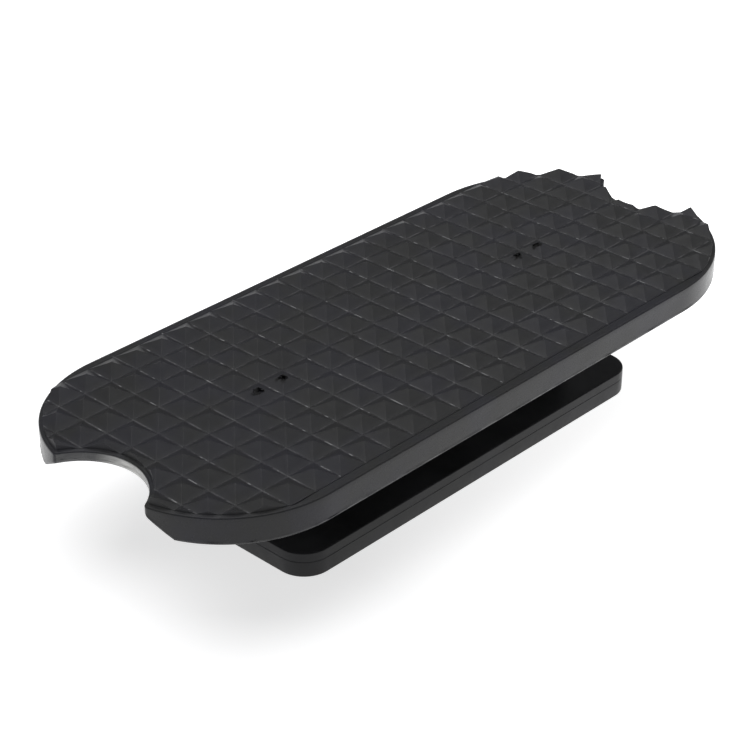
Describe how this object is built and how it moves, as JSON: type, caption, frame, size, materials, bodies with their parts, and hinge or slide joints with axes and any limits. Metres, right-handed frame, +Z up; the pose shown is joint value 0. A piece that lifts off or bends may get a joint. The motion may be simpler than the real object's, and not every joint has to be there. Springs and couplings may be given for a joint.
{
  "type": "stirrup tread",
  "caption": "Studded rubber foot pad with notched ends, joined by a neck to a smaller retaining plate that clamps it through a stirrup iron's slotted footplate.",
  "frame": {"origin": "middle of the retaining plate's underside, the lowest face, on which the part rests", "axes": "+X along the tread, its longest side; +Y across it; +Z up through the pad, towards the rider's boot"},
  "size_m": [0.1192, 0.049, 0.0222],
  "materials": {
    "tread_rubber": "moulded black rubber, satin with a faint bluish bloom",
    "plate_rubber": "moulded black rubber, satin",
    "neck_rubber": "moulded black rubber, matt",
    "core_steel": "plain sheet steel",
    "insert_brass": "turned brass",
    "washer_steel": "pressed stainless steel",
    "screw_steel": "turned stainless steel"
  },
  "bodies": {
    "root": {"tread_pad": "tread_rubber", "pad_core_plate": "core_steel", "neck_block": "neck_rubber", "retaining_plate": "plate_rubber", "threaded_insert_left": "insert_brass", "threaded_insert_right": "insert_brass", "cup_washer_left": "washer_steel", "cup_washer_right": "washer_steel", "clamp_screw_left": "screw_steel", "clamp_screw_right": "screw_steel"}
  },
  "joints": []
}
